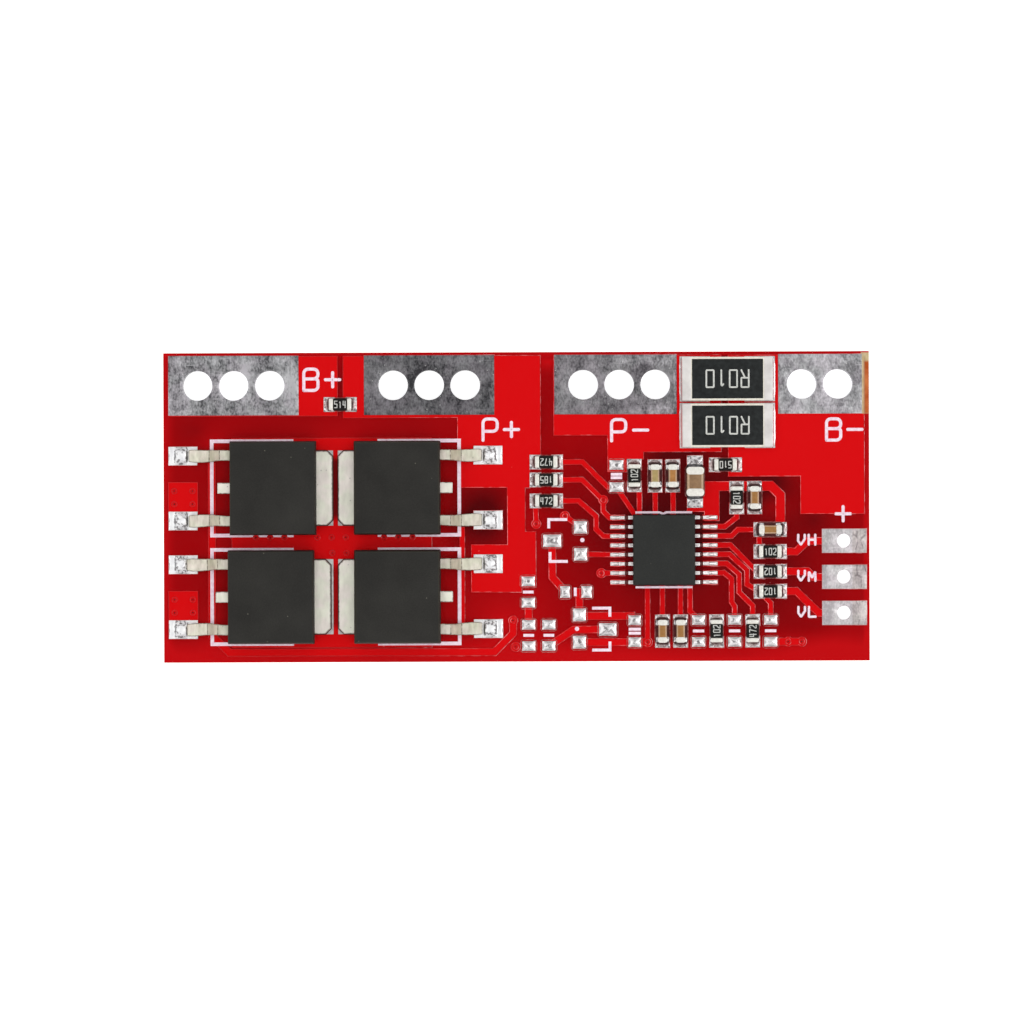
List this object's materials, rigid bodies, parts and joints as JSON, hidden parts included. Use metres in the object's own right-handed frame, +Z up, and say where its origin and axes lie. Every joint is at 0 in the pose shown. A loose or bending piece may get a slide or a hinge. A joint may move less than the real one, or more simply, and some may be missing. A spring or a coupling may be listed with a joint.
{
  "type": "battery management board",
  "caption": "Battery management board: red circuit board with power transistors, a controller, current shunts, chip parts and rows of plated terminal holes.",
  "frame": {"origin": "centre of the board's underside", "axes": "+X along the length towards the cell taps, +Y towards the power terminals, +Z up out of the component side"},
  "size_m": [0.0496, 0.0218, 0.004],
  "materials": {
    "laminate": "glass-epoxy laminate under satin red mask",
    "masked_copper": "copper under satin red mask",
    "legend_ink": "pinkish white ink",
    "via_plating": "plated copper",
    "tinning": "dull tinned copper, mottled",
    "silicon": "polished silicon",
    "solder": "bright solder",
    "moulding": "matt charcoal moulding compound",
    "drain_metal": "matt tin-plated copper",
    "lead_metal": "matt tin-plated copper",
    "die_plate": "bare copper alloy",
    "shunt_coat": "black coat over a metal element, plated ends",
    "resistor_coat": "black coat over white ceramic, plated ends",
    "capacitor_ceramic": "tan ceramic, plated ends",
    "large_capacitor_ceramic": "brown ceramic, plated ends"
  },
  "bodies": {
    "root": {"printed_board": "laminate", "top_copper": "masked_copper", "legend": "legend_ink", "via_barrels": "via_plating", "part_lands": "tinning", "spare_lands": "tinning", "battery_plus_terminal": "tinning", "load_plus_terminal": "tinning", "load_minus_terminal": "tinning", "battery_minus_terminal": "tinning", "cell_tap_high": "tinning", "cell_tap_middle": "tinning", "cell_tap_low": "tinning", "transistor_dies": "silicon", "controller_die": "silicon", "lead_solder": "solder", "spare_solder": "solder", "controller_solder": "solder", "chip_solder": "solder", "shunt_solder": "solder", "controller_body": "moulding", "transistor_body_1": "moulding", "transistor_body_2": "moulding", "transistor_body_3": "moulding", "transistor_body_4": "moulding", "transistor_tab_1": "drain_metal", "transistor_tab_2": "drain_metal", "transistor_tab_3": "drain_metal", "transistor_tab_4": "drain_metal", "controller_leads": "lead_metal", "transistor_leads_1": "lead_metal", "transistor_leads_2": "lead_metal", "transistor_leads_3": "lead_metal", "transistor_leads_4": "lead_metal", "controller_die_plate": "die_plate", "shunt_1": "shunt_coat", "shunt_2": "shunt_coat", "resistor_1": "resistor_coat", "resistor_2": "resistor_coat", "resistor_3": "resistor_coat", "resistor_4": "resistor_coat", "resistor_5": "resistor_coat", "resistor_6": "resistor_coat", "resistor_7": "resistor_coat", "resistor_8": "resistor_coat", "resistor_9": "resistor_coat", "resistor_10": "resistor_coat", "resistor_11": "resistor_coat", "resistor_12": "resistor_coat", "capacitor_1": "capacitor_ceramic", "capacitor_2": "capacitor_ceramic", "capacitor_3": "capacitor_ceramic", "capacitor_4": "capacitor_ceramic", "capacitor_5": "capacitor_ceramic", "capacitor_6": "capacitor_ceramic", "large_capacitor": "large_capacitor_ceramic"}
  },
  "joints": []
}
